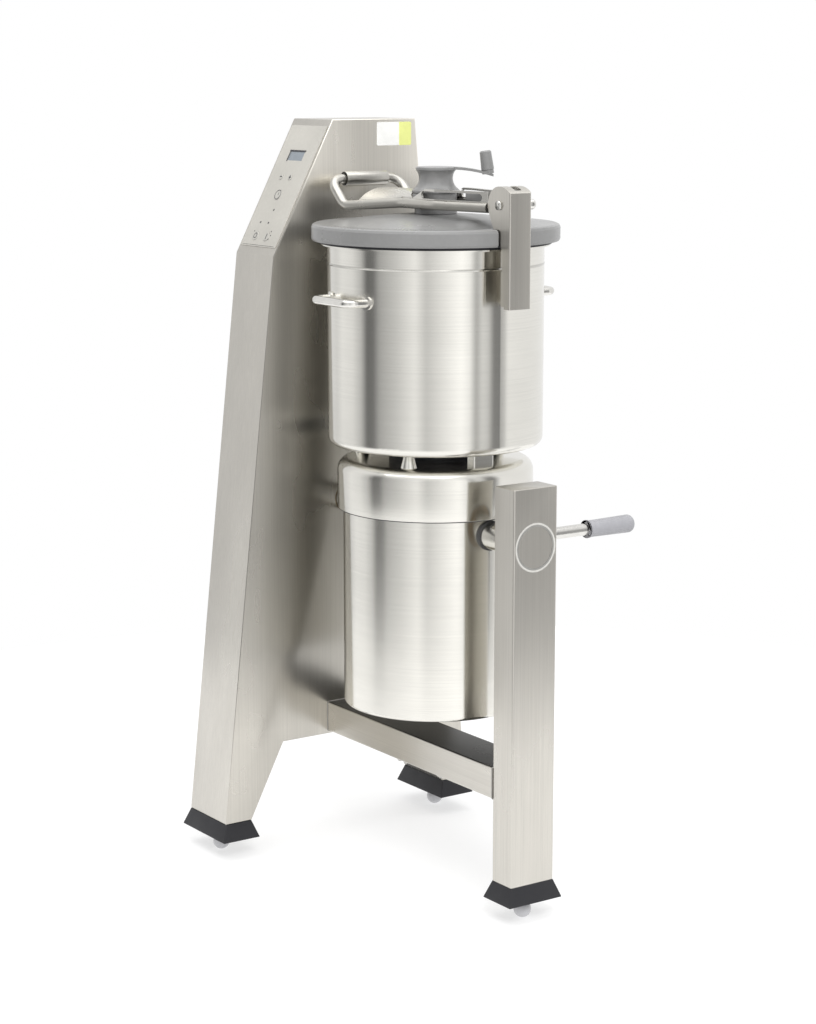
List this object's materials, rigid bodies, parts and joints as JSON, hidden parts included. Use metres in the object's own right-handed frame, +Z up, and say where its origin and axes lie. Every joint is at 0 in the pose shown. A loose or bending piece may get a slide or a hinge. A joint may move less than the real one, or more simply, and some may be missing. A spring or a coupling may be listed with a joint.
{
  "type": "vertical cutter mixer",
  "caption": "Vertical cutter mixer with hinged lid, lift-off bowl, sickle blades and a motor unit tilting between a control pedestal and a leg.",
  "frame": {"origin": "on the floor, at the centre of the box round the three feet", "axes": "+Z up; +X from the control pedestal towards the single leg, along the tilt axis; -Y towards the cook, where the control panel faces and the bowl tips"},
  "size_m": [0.755, 0.59, 1.4],
  "materials": {
    "satin_steel": "satin brushed stainless sheet",
    "bright_steel": "bright brushed stainless",
    "blade_steel": "ground stainless",
    "lid_grey": "semi-gloss moulded grey",
    "grip_grey": "fine-textured light grey",
    "cutter_black": "moulded dark plastic",
    "black_rubber": "matt black rubber",
    "nylon": "pale nylon",
    "wiper_steel": "polished round bar",
    "panel_foil": "satin grey foil",
    "key_foil": "satin grey foil",
    "display_glass": "grey-blue display window",
    "board_green": "circuit board",
    "electric_grey": "moulded dark grey",
    "motor_steel": "laminated steel",
    "cast_aluminium": "as cast",
    "bearing_bronze": "machined",
    "fan_plastic": "moulded"
  },
  "bodies": {
    "stand": {"pedestal_shell": "satin_steel", "pedestal_side_panel": "satin_steel", "rear_cover": "satin_steel", "cable_gland": "electric_grey", "control_panel": "panel_foil", "display_window": "display_glass", "control_board": "board_green", "electric_rack": "electric_grey", "cross_beam": "satin_steel", "right_leg": "satin_steel", "bearing_barrel": "bright_steel", "barrel_cap": "satin_steel", "tilt_bearings": "bearing_bronze", "brake_caliper": "cast_aluminium", "bolts_and_screws": "satin_steel", "feet": "black_rubber", "glides": "nylon"},
    "motor_unit": {"motor_can": "bright_steel", "motor_cap": "bright_steel", "shaft_seal": "black_rubber", "bowl_supports": "bright_steel", "leg_trunnion": "bright_steel", "cable_trunnion": "bright_steel", "trunnion_ring": "black_rubber", "lever_rod": "bright_steel", "lever_grip": "grip_grey", "stator": "motor_steel", "end_shields": "cast_aluminium", "shaft_bearings": "bearing_bronze"},
    "rotor": {"rotor_core": "motor_steel", "drive_shaft": "bright_steel", "cooling_fan": "fan_plastic"},
    "bowl": {"bowl_shell": "bright_steel", "bowl_chimney": "bright_steel", "front_bail_handle": "bright_steel", "rear_bail_handle": "bright_steel", "hinge_bracket": "satin_steel", "hinge_pin": "bright_steel"},
    "cutter": {"blade_sleeve": "cutter_black", "sickle_blades": "blade_steel", "blade_spacers": "blade_steel", "blade_knob": "cutter_black"},
    "lid": {"lid_dome": "lid_grey", "lid_seal": "black_rubber", "lid_carrier": "lid_grey", "lid_neck": "lid_grey", "arm_tube": "bright_steel", "arm_yoke": "bright_steel", "arm_web": "bright_steel", "hinge_drum": "lid_grey"},
    "hand_roller": {"roller_grip": "bright_steel"},
    "wiper": {"crank_arm": "lid_grey", "wiper_arm": "wiper_steel", "wiper_blade": "nylon"},
    "knob": {"crank_knob": "lid_grey"},
    "key_timer_minus_body": {"key_timer_minus": "key_foil"},
    "key_timer_plus_body": {"key_timer_plus": "key_foil"},
    "key_speed_ring_body": {"key_speed_ring": "key_foil"},
    "key_stop_body": {"key_stop": "key_foil"},
    "key_start_body": {"key_start": "key_foil"}
  },
  "joints": [
    {"name": "bowl_tilt", "type": "hinge", "parent": "stand", "child": "motor_unit", "pos_m": [0.065, -0.0025, 0.679], "axis": [1, 0, 0], "range_deg": [0, 100]},
    {"name": "rotor_spin", "type": "hinge", "parent": "motor_unit", "child": "rotor", "pos_m": [0.065, -0.0025, 0.52], "axis": [0, 0, 1], "continuous": true},
    {"name": "bowl_lift", "type": "slide", "parent": "motor_unit", "child": "bowl", "axis": [0, 0, 1], "range_m": [0, 0.25]},
    {"name": "cutter_spin", "type": "hinge", "parent": "bowl", "child": "cutter", "pos_m": [0.065, -0.0025, 0.9], "axis": [0, 0, 1], "continuous": true},
    {"name": "lid_hinge", "type": "hinge", "parent": "bowl", "child": "lid", "pos_m": [0.284, -0.0025, 1.264], "axis": [0, 1, 0], "range_deg": [0, 100]},
    {"name": "roller_spin", "type": "hinge", "parent": "lid", "child": "hand_roller", "pos_m": [-0.164, -0.0025, 1.293], "axis": [0, 1, 0], "continuous": true},
    {"name": "crank_turn", "type": "hinge", "parent": "lid", "child": "wiper", "pos_m": [0.065, -0.0025, 1.3], "axis": [0, 0, 1], "continuous": true},
    {"name": "knob_spin", "type": "hinge", "parent": "wiper", "child": "knob", "pos_m": [0.11808, 0.07387, 1.31244], "axis": [-0.0794, -0.1143, 0.9903], "continuous": true},
    {"name": "key_timer_minus_press", "type": "slide", "parent": "stand", "child": "key_timer_minus_body", "axis": [0, 0.8843, -0.4669], "range_m": [0, 0.0015], "stiffness_N_per_m": 600, "springref_m": -0.001},
    {"name": "key_timer_plus_press", "type": "slide", "parent": "stand", "child": "key_timer_plus_body", "axis": [0, 0.8843, -0.4669], "range_m": [0, 0.0015], "stiffness_N_per_m": 600, "springref_m": -0.001},
    {"name": "key_speed_ring_press", "type": "slide", "parent": "stand", "child": "key_speed_ring_body", "axis": [0, 0.8843, -0.4669], "range_m": [0, 0.0015], "stiffness_N_per_m": 600, "springref_m": -0.001},
    {"name": "key_stop_press", "type": "slide", "parent": "stand", "child": "key_stop_body", "axis": [0, 0.8843, -0.4669], "range_m": [0, 0.0015], "stiffness_N_per_m": 600, "springref_m": -0.001},
    {"name": "key_start_press", "type": "slide", "parent": "stand", "child": "key_start_body", "axis": [0, 0.8843, -0.4669], "range_m": [0, 0.0015], "stiffness_N_per_m": 600, "springref_m": -0.001}
  ],
  "couplings": [
    {"joint": "cutter_spin", "follows": "rotor_spin", "ratio": 1}
  ]
}
